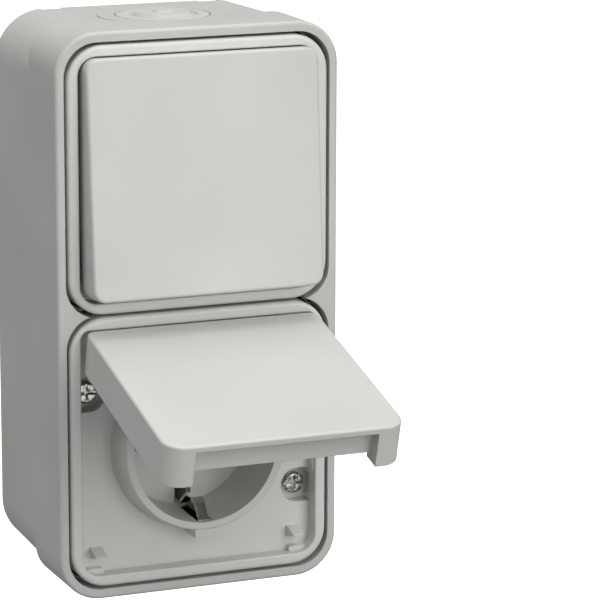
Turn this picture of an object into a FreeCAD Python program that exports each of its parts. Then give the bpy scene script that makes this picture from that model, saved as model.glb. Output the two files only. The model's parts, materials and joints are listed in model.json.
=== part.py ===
import FreeCAD, Part
import math
import os
import re
import Sketcher

# Surface-mounted switch and socket combination, upright, two modules in one box.
# X runs to the right, Y into the wall, Z up. The origin lies on the wall face at the middle of the box,
# so every depth below is a distance in front of the wall, along -Y.

SIZES = [
    ("RimBandWide", 3.0, "rim beyond the frames at the sides"),
    ("RimBandTall", 3.35, "rim beyond the frames at top and bottom"),
    ("TaperWide", 0.9, "draft of each side of the box, from rim to wall"),
    ("TaperTall", 1.1, "draft of each end of the box, from rim to wall"),
    ("BoxDepth", 52.5, "wall face to front rim"),
    ("StepDepth", 30.4, "wall face to the step in the corners"),
    ("RearCorner", 13.3, "corner radius behind the step"),
    ("StepCorner", 9.4, "corner radius just in front of the step"),
    ("RimCorner", 11.2, "corner radius at the rim"),
    ("RimEdge", 0.9, "rounding of the rim's outer edge"),
    ("BackThick", 2.5, "thickness of the box's back"),
    ("LedgeDepth", 43.2, "wall face to the ledge that carries the frames"),
    ("LedgeInset", 1.3, "ledge reach inside the frame's outer edge"),
    ("WellCorner", 8.8, "corner radius of the wells that take the frames"),
    ("CavityCorner", 6.0, "corner radius of the inner hollow"),
    ("FrameGap", 0.7, "gap round each frame"),
    ("SeamHeight", 1.1, "height of the seam between the two modules"),
    ("FrameWidth", 70.6, "width of both frames"),
    ("SwitchFrameHeight", 69.2, "height of the switch frame"),
    ("SocketFrameHeight", 71.4, "height of the socket frame"),
    ("FrameCorner", 9.6, "outer corner radius of the frames"),
    ("FrameProud", 0.35, "frame front ahead of the rim"),
    ("FrameEdge", 1.1, "rounding of the frame's outer edge"),
    ("FrameSide", 3.0, "width of the frame's side bands"),
    ("SwitchBand", 2.9, "width of the switch frame's top and bottom bands"),
    ("SocketBandTop", 3.25, "width of the socket frame's top band"),
    ("SocketBandLow", 3.0, "width of the socket frame's bottom band"),
    ("LidWindowCorner", 2.4, "upper corner radius of the socket window, clear of the lifted lid"),
    ("WindowCorner", 5.0, "corner radius of the frame windows"),
    ("WindowEdge", 0.45, "rounding of the window's front edge"),
    ("SealThick", 1.2, "frame seal thickness"),
    ("SealWidth", 1.3, "frame seal width"),
    ("SwitchFloorThick", 1.8, "floor of the switch frame"),
    ("PlateDepth", 48.4, "wall face to the front of the socket plate"),
    ("PlateThick", 2.2, "socket plate thickness"),
    ("Clearance", 0.3, "gap between pieces that move past each other"),
    ("PostRadius", 3.6, "screw post radius"),
    ("PostInset", 6.45, "side of a frame to the axis of its screw post"),
    ("PostPitchTall", 29.9, "distance upright between the two posts of a module"),
    ("PostHoleDepth", 14.0, "depth of the screw hole in a post"),
    ("PostRibThick", 1.8, "rib from a post to the side wall"),
    ("ScrewRadius", 1.5, "fixing screw shank radius"),
    ("ScrewFit", 0.05, "radial fit of a screw in its hole"),
    ("ScrewHeadRadius", 2.8, "fixing screw head radius"),
    ("ScrewHeadHeight", 2.0, "fixing screw head height"),
    ("ScrewLength", 12.0, "fixing screw length under the head"),
    ("ScrewSlotWidth", 0.8, "screwdriver slot width"),
    ("ScrewSlotDepth", 0.9, "screwdriver slot depth"),
    ("ScrewCross", 0.62, "reach of the cross recess as a share of the head's radius"),
    ("SeatDepth", 44.6, "wall face to the seat of the screw heads"),
    ("SeatWall", 1.0, "wall round a screw seat behind the floor"),
    ("SeatBossDepth", 42.4, "wall face to the back of the seat bosses"),
    ("SwitchPocketRadius", 3.6, "screw pocket in the switch frame"),
    ("SocketPocketRadius", 4.6, "screw pocket in the socket plate"),
    ("WallHoleRadius", 2.4, "hole for a wall screw"),
    ("WallHoleWide", 50.0, "distance across between wall holes"),
    ("WallHoleTall", 120.0, "distance upright between wall holes"),
    ("DividerPassWide", 40.0, "wire passage through the divider"),
    ("DividerPassDepth", 32.0, "wall face to the top of the wire passage"),
    ("RearNotchWide", 5.8, "breather notch in the rear top edge"),
    ("RearNotchTall", 0.6, "breather notch height"),
    ("RearNotchDeep", 2.0, "breather notch depth from the wall"),
    ("RearNotchPlace", 21.9, "middle of the box to a breather notch"),
    ("EntryDepth", 26.0, "wall face to the axis of the cable entries"),
    ("EntryInset", 0.35, "flat of an entry below the rim's end"),
    ("EntryRadius", 17.0, "flat round a cable entry"),
    ("EntryHole", 10.2, "cable entry hole radius"),
    ("EntryCounter", 12.5, "counterbore for the entry seal"),
    ("EntryFlange", 1.0, "flange thickness of the entry seal"),
    ("EntryLip", 0.9, "inner lip of the entry seal beyond its hole"),
    ("EntryDisc", 7.0, "raised disc of the entry seal, radius"),
    ("EntryNipple", 1.2, "height of the nipple on the entry seal"),
    ("EntryNippleRadius", 2.6, "radius of the nipple on the entry seal"),
    ("EntryMembrane", 1.6, "membrane thickness"),
    ("RockerGapWide", 1.0, "gap beside the rocker"),
    ("RockerGapTall", 0.9, "gap above and below the rocker"),
    ("RockerCorner", 3.3, "rocker corner radius"),
    ("RockerEdge", 0.8, "rounding round the rocker face"),
    ("RockerSkirt", 9.3, "depth of the rocker's sides"),
    ("RockerWall", 1.8, "rocker side wall"),
    ("RockerInnerCorner", 0.3, "growth of the rocker's inner corner radius"),
    ("RockerFace", 2.0, "rocker face thickness"),
    ("RockerReach", 12.0, "pivot to the rocker face"),
    ("RockerRest", 58.6, "wall face to the level rocker face"),
    ("RockerTilt", 4.7, "tilt each way from level"),
    ("CradleWide", 18.0, "cradle plate width"),
    ("CradleTall", 16.0, "cradle plate height"),
    ("CradleThick", 2.2, "cradle plate thickness"),
    ("TubeRadius", 3.2, "cradle tube outer radius"),
    ("TubeBore", 2.2, "cradle tube bore radius"),
    ("TubeReach", 2.0, "cradle tube beyond the pivot"),
    ("TrunnionRadius", 1.8, "trunnion radius"),
    ("TrunnionSpan", 22.6, "trunnions end to end"),
    ("BearingFit", 0.08, "radial running fit of trunnions and hinge pins"),
    ("BearingWide", 18.6, "inner distance between the bearing ears"),
    ("BearingThick", 2.0, "bearing ear thickness"),
    ("BearingRadius", 3.8, "bearing ear radius"),
    ("PlungerRadius", 1.2, "plunger stem radius"),
    ("PlungerHead", 1.9, "plunger head radius"),
    ("PlungerHeadThick", 0.9, "plunger head thickness"),
    ("PlungerReach", 10.1, "pivot to the plunger tip"),
    ("SpringMean", 1.55, "mean radius of the toggle spring"),
    ("SpringWire", 0.25, "wire radius of the toggle spring"),
    ("SpringTurns", 5, "turns of the toggle spring"),
    ("InsertSize", 42.0, "side of the insert bases"),
    ("InsertCorner", 3.0, "corner radius of the insert bases"),
    ("InsertCoverSize", 44.0, "side of the switch insert cover"),
    ("InsertCoverThick", 2.2, "switch insert cover thickness"),
    ("InsertHole", 5.0, "hole for the plunger in the insert cover"),
    ("FrameMouth", 28.0, "mouth in the switch frame's floor"),
    ("SwitchBaseDepth", 18.0, "wall face to the back of the switch base"),
    ("MechanismWide", 14.0, "mechanism hollow width"),
    ("MechanismTall", 26.0, "mechanism hollow height"),
    ("MechanismFloor", 30.0, "wall face to the floor of the mechanism hollow"),
    ("ArmPivotDepth", 34.6, "wall face to the contact arm's pivot"),
    ("ArmThick", 1.4, "contact arm thickness"),
    ("ArmTall", 17.0, "contact arm length"),
    ("ArmWide", 6.0, "contact arm width"),
    ("ArmTilt", 7.0, "contact arm tilt each way"),
    ("RivetRadius", 1.5, "contact rivet radius"),
    ("RivetRise", 0.35, "contact rivet height"),
    ("StripThick", 1.0, "contact strip thickness"),
    ("StripWide", 6.0, "contact strip width"),
    ("StripPlace", 11.2, "module middle to a contact strip"),
    ("TerminalSize", 7.0, "terminal block side"),
    ("TerminalTall", 6.0, "terminal block height"),
    ("TerminalPocketDeep", 9.3, "terminal pocket depth"),
    ("TerminalScrewRadius", 1.4, "terminal screw radius"),
    ("TerminalScrewLength", 5.6, "terminal screw length"),
    ("TerminalHeadRadius", 2.2, "terminal screw head radius"),
    ("TerminalHeadHeight", 1.4, "terminal screw head height"),
    ("SocketDrop", 0.25, "recess axis below the middle of the socket frame"),
    ("CollarRise", 4.7, "collar front ahead of the rim"),
    ("CollarWall", 2.0, "collar wall at its front"),
    ("CollarFlare", 1.4, "collar wall growth down to the plate"),
    ("CupMouth", 19.7, "recess radius at its mouth"),
    ("CupFloor", 19.15, "recess radius at its floor"),
    ("CupDepth", 18.1, "recess depth"),
    ("CupFloorThick", 2.0, "recess floor thickness"),
    ("CupWall", 2.0, "recess wall behind the plate"),
    ("CollarEdge", 0.5, "rounding of the collar's edge"),
    ("PinPitch", 19.0, "distance between the two pin holes"),
    ("PinHole", 2.75, "pin hole radius"),
    ("EarthSlotWide", 4.4, "earth slot width"),
    ("EarthSlotInner", 15.1, "recess axis to the inner end of an earth slot"),
    ("EarthSlotLip", 1.4, "collar left whole in front of an earth slot"),
    ("EarthSlotOuter", 22.4, "recess axis to the outer end of an earth slot"),
    ("TabWide", 6.0, "bulge of the collar round an earth slot"),
    ("TabOuter", 24.0, "recess axis to the face of the lower bulge"),
    ("TabOuterTop", 23.0, "recess axis to the face of the upper bulge"),
    ("KeyWide", 1.6, "side key of the recess"),
    ("KeyDeep", 1.1, "side key reach into the recess"),
    ("StrapThick", 0.8, "earth strap thickness"),
    ("StrapWide", 2.8, "earth strap width"),
    ("StrapDepth", 30.0, "wall face to the earth strap's bar"),
    ("StrapLeg", 18.6, "recess axis to an earth strap leg"),
    ("StrapHead", 14.9, "recess axis to an earth clip's head"),
    ("StrapBend", 1.9, "bend radius at the foot of the earth clip"),
    ("ClipBend", 4.4, "bend radius of the earth clip's head"),
    ("SleeveRadius", 3.6, "contact sleeve outer radius"),
    ("SleeveBore", 2.45, "contact sleeve bore radius"),
    ("SleeveRear", 20.0, "wall face to the back of a sleeve"),
    ("SleeveSlit", 0.8, "slit along a sleeve"),
    ("SocketBaseDepth", 14.0, "wall face to the back of the socket base"),
    ("BaseArmTall", 12.0, "height of the arms that hold the base to the plate"),
    ("BaseArmThick", 2.0, "thickness of those arms"),
    ("BaseArmRoot", 30.0, "wall face to the root of those arms"),
    ("HingeDrop", 7.45, "hinge axis below the top of the socket frame"),
    ("HingeEarRadius", 2.1, "ear and barrel radius"),
    ("HingeEarInner", 17.0, "middle of the box to the inner face of an ear"),
    ("HingeEarThick", 4.0, "ear thickness"),
    ("HingeBarrelLength", 4.0, "lid barrel length"),
    ("HingeEarLean", 4.6, "foot of an ear below the hinge axis"),
    ("HingePinRadius", 0.9, "hinge pin radius"),
    ("LidSideGap", 0.7, "gap beside the lid"),
    ("LidFrontGap", 1.75, "gap below the closed lid"),
    ("LidCollarGap", 0.9, "lid plate ahead of the collar when closed"),
    ("LidPlateGap", 0.4, "lid sides ahead of the socket plate when closed"),
    ("LidRear", 2.3, "hinge axis to the lid's rear edge"),
    ("LidReach", 4.3, "hinge axis to the lid's outer face"),
    ("LidWall", 1.8, "lid wall"),
    ("LidFrontCorner", 5.5, "lid's front corner radius"),
    ("LidRearCorner", 2.2, "lid's rear corner radius"),
    ("LidEdge", 0.7, "rounding round the lid's face"),
    ("LidRearDrop", 4.7, "hinge axis to the lower edge of the lid's rear wall"),
    ("LidRearCut", 1.2, "chamfer under the lid's rear edge"),
    ("LidLift", 75.0, "lift of the lid from closed, as it stands"),
    ("GripWide", 48.0, "grip notch width"),
    ("GripDeep", 3.8, "grip notch depth"),
    ("LidFootWall", 1.3, "wall beside the grip notch"),
    ("LidFootFront", 1.4, "front wall and inner corner radius beside the grip notch"),
    ("GripWallDrop", 9.0, "outer face to the lower edge of the grip wall"),
    ("LidSealInner", 19.5, "lid seal inner radius"),
    ("LidSealOuter", 22.0, "lid seal outer radius"),
    ("LidSealThick", 1.2, "lid seal thickness"),
    ("LidSealGroove", 0.7, "groove depth for the lid seal"),
    ("CatchWide", 3.1, "catch block width"),
    ("CatchTall", 3.1, "height of a catch's foot"),
    ("CatchNose", 4.9, "catch nose ahead of the plate"),
    ("CatchUnder", 1.3, "rise of the nose over the catch's lower end"),
    ("CatchLip", 0.4, "thickness of the nose"),
    ("CatchPlace", 27.45, "recess axis to a catch block, across"),
    ("CatchDrop", 27.3, "recess axis down to a catch block"),
    ("CatchLowerTall", 1.4, "height of the lower block above the frame's band"),
    ("CatchLowerRise", 2.1, "lower block ahead of the plate"),
    ("CatchLowerCorner", 0.6, "corner radius of the lower block"),
    ("GuideWide", 0.35, "reach of the guide rib beside the lower screw"),
    ("GuideTall", 6.0, "guide rib height"),
    ("GuideRise", 3.4, "guide rib rise from the plate"),
]

doc = FreeCAD.newDocument("SwitchAndSocket")
sheet = doc.addObject("Spreadsheet::Sheet", "Sizes")
for row, (alias, size, note) in enumerate(SIZES, start=1):
    sheet.set("A%d" % row, alias)
    sheet.set("B%d" % row, str(size))
    sheet.set("C%d" % row, note)
    sheet.setAlias("B%d" % row, alias)
doc.recompute()

PLANES = {"front": "XZ_Plane", "side": "YZ_Plane", "level": "XY_Plane"}
bodies = []


def formula(text):
    """Names of sizes start with a capital; the sheet's own name goes before each."""
    return re.sub(r"\b([A-Z][A-Za-z]+)\b", r"Sizes.\1", text)


def size(text):
    """The present value of a formula."""
    result = sheet.evalExpression(formula(text))
    return float(getattr(result, "Value", result))


def new_body(label):
    body = doc.addObject("PartDesign::Body", label)
    body.Label = label
    bodies.append(body)
    return body


def place(body, x="0", y="0", z="0", axis=(1, 0, 0), angle="0"):
    """Moves a body from its own origin to its place in the box; the three offsets and the turn are formulas."""
    turn = FreeCAD.Rotation(FreeCAD.Vector(*axis), size(angle))
    body.Placement = FreeCAD.Placement(FreeCAD.Vector(size(x), size(y), size(z)), turn)
    for part, text in (("x", x), ("y", y), ("z", z)):
        body.setExpression("Placement.Base." + part, formula(text))


def new_sketch(body, name, plane, offset):
    """A sketch on one of the body's own planes. Front sketches look towards the wall: X, Z and depth."""
    sketch = body.newObject("Sketcher::SketchObject", body.Name + name)
    support = [item for item in body.Origin.OriginFeatures if item.Role == PLANES[plane]][0]
    sketch.AttachmentSupport = [(support, "")]
    sketch.MapMode = "FlatFace"
    sketch.setExpression(".AttachmentOffset.Base.z", formula(offset))
    return sketch


def bind(sketch, kind, first, first_point, second, second_point, text):
    index = sketch.addConstraint(
        Sketcher.Constraint(kind, first, first_point, second, second_point, size(text)))
    sketch.setExpression("Constraints[%d]" % index, formula(text))


def bind_radius(sketch, item, text):
    index = sketch.addConstraint(Sketcher.Constraint("Radius", item, size(text)))
    sketch.setExpression("Constraints[%d]" % index, formula(text))


def rounded(body, name, plane, offset, left, right, low, high, corner, top_corner=None):
    """A rectangle with round corners. A second radius, where given, is for its two upper corners."""
    sketch = new_sketch(body, name, plane, offset)
    x0, x1, z0, z1 = size(left), size(right), size(low), size(high)
    r0 = size(corner)
    r1 = size(top_corner) if top_corner else r0
    point = FreeCAD.Vector
    lines = [(point(x0 + r0, z0), point(x1 - r0, z0)), (point(x1, z0 + r0), point(x1, z1 - r1)),
             (point(x1 - r1, z1), point(x0 + r1, z1)), (point(x0, z1 - r1), point(x0, z0 + r0))]
    for start, end in lines:
        sketch.addGeometry(Part.LineSegment(start, end))
    centres = [(point(x1 - r0, z0 + r0), r0), (point(x1 - r1, z1 - r1), r1),
               (point(x0 + r1, z1 - r1), r1), (point(x0 + r0, z0 + r0), r0)]
    for turn, (centre, radius) in enumerate(centres):
        circle = Part.Circle(centre, point(0, 0, 1), radius)
        start = (turn - 1) * math.pi / 2
        sketch.addGeometry(Part.ArcOfCircle(circle, start, start + math.pi / 2))
    arcs = len(lines)
    for side in range(arcs):
        sketch.addConstraint(Sketcher.Constraint("Tangent", side, 2, side + arcs, 1))
        sketch.addConstraint(Sketcher.Constraint("Tangent", side + arcs, 2, (side + 1) % arcs, 1))
    for side, kind in enumerate(("Horizontal", "Vertical", "Horizontal", "Vertical")):
        sketch.addConstraint(Sketcher.Constraint(kind, side))
    sketch.addConstraint(Sketcher.Constraint("Equal", arcs, arcs + 3))
    sketch.addConstraint(Sketcher.Constraint("Equal", arcs + 1, arcs + 2))
    bind_radius(sketch, arcs, corner)
    bind_radius(sketch, arcs + 1, top_corner or corner)
    bind(sketch, "DistanceX", -1, 1, 3, 1, left)
    bind(sketch, "DistanceX", -1, 1, 1, 1, right)
    bind(sketch, "DistanceY", -1, 1, 0, 1, low)
    bind(sketch, "DistanceY", -1, 1, 2, 1, high)
    return sketch


def circles(body, name, plane, offset, rounds):
    """Circles given as (across, up, radius) formulas."""
    sketch = new_sketch(body, name, plane, offset)
    for across, up, radius in rounds:
        centre = FreeCAD.Vector(size(across), size(up), 0)
        item = sketch.addGeometry(Part.Circle(centre, FreeCAD.Vector(0, 0, 1), size(radius)))
        bind_radius(sketch, item, radius)
        bind(sketch, "DistanceX", -1, 1, item, 3, across)
        bind(sketch, "DistanceY", -1, 1, item, 3, up)
    return sketch


def outline(body, name, plane, offset, corners, mirrored_too=False):
    """A closed polygon through corners given as formulas."""
    sketch = new_sketch(body, name, plane, offset)
    loops = [corners]
    if mirrored_too:
        loops.append([("-(%s)" % across, up) for across, up in corners])
    for loop in loops:
        first = sketch.GeometryCount
        points = [FreeCAD.Vector(size(across), size(up), 0) for across, up in loop]
        count = len(points)
        for index in range(count):
            sketch.addGeometry(Part.LineSegment(points[index], points[(index + 1) % count]))
        for index in range(count):
            after = first + (index + 1) % count
            sketch.addConstraint(Sketcher.Constraint("Coincident", first + index, 2, after, 1))
        for index, (across, up) in enumerate(loop):
            bind(sketch, "DistanceX", -1, 1, first + index, 1, across)
            bind(sketch, "DistanceY", -1, 1, first + index, 1, up)
    return sketch


def box_outline(body, name, plane, offset, left, right, low, high, mirrored_too=False):
    corners = [(left, low), (right, low), (right, high), (left, high)]
    return outline(body, name, plane, offset, corners, mirrored_too)


def feature(body, kind, sketch, length, reverse=False, middle=False):
    item = body.newObject("PartDesign::" + kind, sketch.Name + kind)
    item.Profile = sketch
    item.setExpression("Length", formula(length))
    item.Reversed = reverse
    if middle:
        item.Midplane = True
    doc.recompute()
    return item


def pad(body, sketch, length, reverse=False, middle=False):
    """Adds material towards the room from a front sketch, or towards the wall when reversed."""
    return feature(body, "Pad", sketch, length, reverse, middle)


def pocket(body, sketch, length, reverse=False, middle=False):
    """Cuts towards the wall from a front sketch. A cut that takes nothing away is an error."""
    before = body.Tip.Shape.Volume
    item = feature(body, "Pocket", sketch, length, reverse, middle)
    if not item.Shape.Volume < before:
        raise RuntimeError("nothing cut by " + item.Name)
    return item


def loft(body, name, first, second):
    item = body.newObject("PartDesign::AdditiveLoft", body.Name + name)
    item.Profile = first
    item.Sections = [second]
    item.Ruled = True
    doc.recompute()
    return item


def revolve(body, name, sketch, cut=False):
    """Turns a side sketch about its upright axis."""
    kind = "Groove" if cut else "Revolution"
    item = body.newObject("PartDesign::" + kind, body.Name + name)
    item.Profile = sketch
    item.ReferenceAxis = (sketch, ["V_Axis"])
    item.Angle = 360
    doc.recompute()
    return item


def mirror(body, name, features, plane):
    item = body.newObject("PartDesign::Mirrored", body.Name + name)
    item.Originals = features
    support = [part for part in body.Origin.OriginFeatures if part.Role == PLANES[plane]][0]
    item.MirrorPlane = (support, [""])
    body.Tip = item
    doc.recompute()
    return item


def round_edges(body, name, radius, chosen, kind="Fillet"):
    """Fillets or chamfers the edges for which the test chosen(edge) holds."""
    base = body.Tip
    names = ["Edge%d" % (index + 1) for index, edge in enumerate(base.Shape.Edges) if chosen(edge)]
    if not names:
        raise RuntimeError("no edge found for " + name)
    item = body.newObject("PartDesign::" + kind, body.Name + name)
    item.Base = (base, names)
    item.setExpression("Radius" if kind == "Fillet" else "Size", formula(radius))
    doc.recompute()
    return item


NEAR = 0.01


def at_depth(depth, half_wide=None, half_tall=None, middle="0"):
    """Tests for edges in the plane at a depth; half sizes keep only those within a window."""
    y = -size(depth)
    z = size(middle)

    def chosen(edge):
        box = edge.BoundBox
        if abs(box.YMin - y) > NEAR or abs(box.YMax - y) > NEAR:
            return False
        if half_wide and max(abs(box.XMin), abs(box.XMax)) > size(half_wide) + NEAR:
            return False
        if half_tall and max(abs(box.ZMin - z), abs(box.ZMax - z)) > size(half_tall) + NEAR:
            return False
        return True

    return chosen


# Where the two modules lie, as heights above the middle of the box.
SWITCH_LOW = "(SeamHeight + FrameGap / 2)"
SWITCH_HIGH = "(SeamHeight + FrameGap / 2 + SwitchFrameHeight)"
SWITCH_MIDDLE = "(SeamHeight + FrameGap / 2 + SwitchFrameHeight / 2)"
SOCKET_HIGH = "(SeamHeight - FrameGap / 2)"
SOCKET_LOW = "(SeamHeight - FrameGap / 2 - SocketFrameHeight)"
SOCKET_AXIS = "(SeamHeight - FrameGap / 2 - SocketFrameHeight / 2 - SocketDrop)"
FRAME_SEAT = "(LedgeDepth + SealThick)"
FRAME_FRONT = "(BoxDepth + FrameProud)"
COLLAR_FRONT = "(BoxDepth + CollarRise)"
CUP_BOTTOM = "(BoxDepth + CollarRise - CupDepth)"
CUP_BACK = "(BoxDepth + CollarRise - CupDepth - CupFloorThick)"
HINGE_DEPTH = "(BoxDepth + CollarRise + LidCollarGap + LidWall - LidReach)"
HINGE_HEIGHT = "(SeamHeight - FrameGap / 2 - HingeDrop)"
LID_SKIRT = "(BoxDepth + CollarRise + LidCollarGap + LidWall - PlateDepth - LidPlateGap)"
LID_FRONT = "(%s + SocketBandLow + LidFrontGap - %s)" % (SOCKET_LOW, HINGE_HEIGHT)
LID_HALF = "(FrameWidth / 2 - FrameSide - LidSideGap)"
BOX_HIGH = "(%s + RimBandTall)" % SWITCH_HIGH
BOX_LOW = "(%s - RimBandTall)" % SOCKET_LOW
BOX_SIDE = "(FrameWidth / 2 + RimBandWide)"
ENTRY_HIGH = "(%s - EntryInset)" % BOX_HIGH
ENTRY_LOW = "(%s + EntryInset)" % BOX_LOW
PIVOT_DEPTH = "(RockerRest - RockerReach)"
WALL_TOP = "(%s - (%s - LedgeInset))" % (ENTRY_HIGH, SWITCH_HIGH)
WALL_LOW = "(%s + LedgeInset - %s)" % (SOCKET_LOW, ENTRY_LOW)
CONTACT_DEPTH = "(ArmPivotDepth - ArmTall / 2 * sin(ArmTilt * 1 deg) - RivetRise - Clearance)"
POSTS = [("-(FrameWidth / 2 - PostInset)", "PostPitchTall / 2"), ("(FrameWidth / 2 - PostInset)", "-PostPitchTall / 2")]


def housing():
    """Moulded box: tapered shell with rounder rear corners, two wells for the frames, ledge, posts."""
    body = new_body("housing")

    def section(name, depth, corner):
        """The box's outline at a depth; it narrows evenly from the rim to the wall."""
        side = "(%s - TaperWide * (1 - (%s) / BoxDepth))" % (BOX_SIDE, depth)
        end = "TaperTall * (1 - (%s) / BoxDepth)" % depth
        return rounded(body, name, "front", depth, "-" + side, side, "%s + %s" % (BOX_LOW, end),
                       "%s - %s" % (BOX_HIGH, end), corner)

    loft(body, "Rear", section("AtWall", "0", "RearCorner"), section("BehindStep", "StepDepth", "RearCorner"))
    loft(body, "Front", section("AheadOfStep", "StepDepth", "StepCorner"), section("AtRim", "BoxDepth", "RimCorner"))
    round_edges(body, "RimEdge", "RimEdge", at_depth("BoxDepth"))

    reach = "(FrameWidth / 2 + FrameGap)"
    inner = "(FrameWidth / 2 - LedgeInset)"
    for name, low, high in (("Switch", SWITCH_LOW, SWITCH_HIGH), ("Socket", SOCKET_LOW, SOCKET_HIGH)):
        pocket(body, rounded(body, name + "Well", "front", "BoxDepth", "-" + reach, reach,
                             low + " - FrameGap", high + " + FrameGap", "WellCorner"),
               "BoxDepth - LedgeDepth")
        pocket(body, rounded(body, name + "Hollow", "front", "LedgeDepth", "-" + inner, inner,
                             low + " + LedgeInset", high + " - LedgeInset", "CavityCorner"),
               "LedgeDepth - BackThick")
    pocket(body, box_outline(body, "WirePassage", "front", "DividerPassDepth", "-DividerPassWide / 2",
                             "DividerPassWide / 2", SOCKET_HIGH + " - LedgeInset - 1",
                             SWITCH_LOW + " + LedgeInset + 1"),
           "DividerPassDepth - BackThick")

    top = "(SeatBossDepth - Clearance)"
    for name, middle in (("Switch", SWITCH_MIDDLE), ("Socket", SOCKET_AXIS)):
        places = [(x, "%s + %s" % (middle, z)) for x, z in POSTS]
        rounds = [(x, z, "PostRadius") for x, z in places]
        pad(body, circles(body, name + "Posts", "front", "BackThick", rounds), top + " - BackThick")
        for side, (x, z) in zip(("Left", "Right"), places):
            wall = "-FrameWidth / 2" if side == "Left" else "FrameWidth / 2"
            near, far = (wall, x) if side == "Left" else (x, wall)
            rib = box_outline(body, name + side + "Rib", "front", "BackThick", near, far,
                              z + " - PostRibThick / 2", z + " + PostRibThick / 2")
            pad(body, rib, "LedgeDepth - 2 - BackThick")
        holes = [(x, z, "ScrewRadius + ScrewFit") for x, z in places]
        pocket(body, circles(body, name + "PostHoles", "front", top, holes), "PostHoleDepth")

    holes = [("%d * WallHoleWide / 2" % i, "%d * WallHoleTall / 2" % k, "WallHoleRadius")
             for i in (-1, 1) for k in (-1, 1)]
    pocket(body, circles(body, "WallHoles", "front", "BackThick", holes), "BackThick")

    for name, flat, inward, wall in (("Top", ENTRY_HIGH, True, WALL_TOP), ("Low", ENTRY_LOW, False, WALL_LOW)):
        disc = circles(body, name + "EntryFlat", "level", flat, [("0", "-EntryDepth", "EntryRadius")])
        pad(body, disc, wall + " - LedgeInset - FrameGap", reverse=inward)
        level = circles(body, name + "EntryLevel", "level", flat, [("0", "-EntryDepth", "EntryRadius")])
        pocket(body, level, "1", reverse=inward)
        seat = circles(body, name + "EntrySeat", "level", flat, [("0", "-EntryDepth", "EntryCounter")])
        pocket(body, seat, "EntryFlange", reverse=not inward)
        hole = circles(body, name + "EntryHole", "level", flat, [("0", "-EntryDepth", "EntryHole")])
        pocket(body, hole, wall, reverse=not inward)

    notch = box_outline(body, "RearNotch", "front", "0", "RearNotchPlace - RearNotchWide / 2",
                        "RearNotchPlace + RearNotchWide / 2", BOX_HIGH + " - TaperTall - RearNotchTall",
                        BOX_HIGH, mirrored_too=True)
    pocket(body, notch, "RearNotchDeep", reverse=True)
    return body


def cable_seal(label, upward):
    """Stepped membrane of a cable entry, turned about its upright axis, with a lip inside the wall."""
    body = new_body(label)
    wall = WALL_TOP if upward else WALL_LOW
    neck = "(EntryHole - Clearance)"
    profile = [("0", "EntryNipple"), ("EntryNippleRadius - 0.4", "EntryNipple"), ("EntryNippleRadius", "0.7"),
               ("EntryDisc", "0.7"), ("EntryDisc + 0.9", "-0.35"),
               ("EntryDisc + 1.9", "-0.35"), ("EntryDisc + 2.4", "0.2"), ("EntryCounter - 1.4", "0.2"),
               ("EntryCounter - Clearance", "0"), ("EntryCounter - Clearance", "-EntryFlange"),
               (neck, "-EntryFlange"), (neck, "-" + wall), ("EntryHole + EntryLip", "-" + wall),
               (neck, "-%s - EntryFlange" % wall), (neck + " - 1.2", "-%s - EntryFlange" % wall),
               (neck + " - 1.2", "-EntryMembrane"), ("0", "-EntryMembrane")]
    revolve(body, "Turned", outline(body, "Profile", "side", "0", profile))
    if upward:
        place(body, y="-EntryDepth", z=ENTRY_HIGH)
    else:
        place(body, y="-EntryDepth", z=ENTRY_LOW, angle="180")
    return body


def frame_block(body, low, high, window_low, window_high, floor_depth, top_corner="WindowCorner"):
    """The square, round-cornered frame of a module with its window cut down to the floor."""
    pad(body, rounded(body, "Block", "front", FRAME_SEAT, "-FrameWidth / 2", "FrameWidth / 2",
                      low, high, "FrameCorner"), "%s - %s" % (FRAME_FRONT, FRAME_SEAT))
    round_edges(body, "OuterEdge", "FrameEdge", at_depth(FRAME_FRONT))
    window = rounded(body, "Window", "front", FRAME_FRONT, "-FrameWidth / 2 + FrameSide",
                     "FrameWidth / 2 - FrameSide", window_low, window_high, "WindowCorner", top_corner)
    pocket(body, window, "%s - %s" % (FRAME_FRONT, floor_depth))
    across = "FrameWidth / 2 - FrameSide"
    tall = "(%s) / 2 - (%s) / 2" % (window_high, window_low)
    middle = "(%s) / 2 + (%s) / 2" % (window_high, window_low)
    round_edges(body, "WindowEdge", "WindowEdge", at_depth(FRAME_FRONT, across, tall, middle))


def screw_seats(body, floor_depth, pocket_radius, open_side=False):
    """Cups behind the floor for the screw heads, open to the window's side where asked, with clearance holes."""
    wall = "(%s + SeatWall)" % pocket_radius
    for name, sign, (x, z) in zip(("Left", "Right"), ("-", ""), POSTS):
        near, far = "(FrameWidth / 2 - PostInset - %s)" % wall, "(FrameWidth / 2 - LedgeInset - Clearance)"
        ends = ("-" + far, "-" + near) if sign else (near, far)
        cup = rounded(body, name + "SeatCup", "front", "SeatBossDepth", ends[0], ends[1],
                      "%s - %s" % (z, wall), "%s + %s" % (z, wall), "SeatWall * 2")
        pad(body, cup, floor_depth + " - SeatBossDepth - 0.1")
    seats = [(x, z, pocket_radius) for x, z in POSTS]
    pocket(body, circles(body, "HeadPockets", "front", floor_depth, seats), floor_depth + " - SeatDepth")
    if open_side:
        for name, sign, (x, z) in zip(("Left", "Right"), ("-", ""), POSTS):
            side = sign + "(FrameWidth / 2 - FrameSide)"
            ends = (side, x) if sign else (x, side)
            channel = box_outline(body, name + "PocketSide", "front", floor_depth, ends[0], ends[1],
                                  "%s - %s" % (z, pocket_radius), "%s + %s" % (z, pocket_radius))
            pocket(body, channel, floor_depth + " - SeatDepth")
    holes = [(x, z, "ScrewRadius + Clearance") for x, z in POSTS]
    pocket(body, circles(body, "ScrewHoles", "front", "SeatDepth", holes), "SeatDepth - SeatBossDepth")


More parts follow.
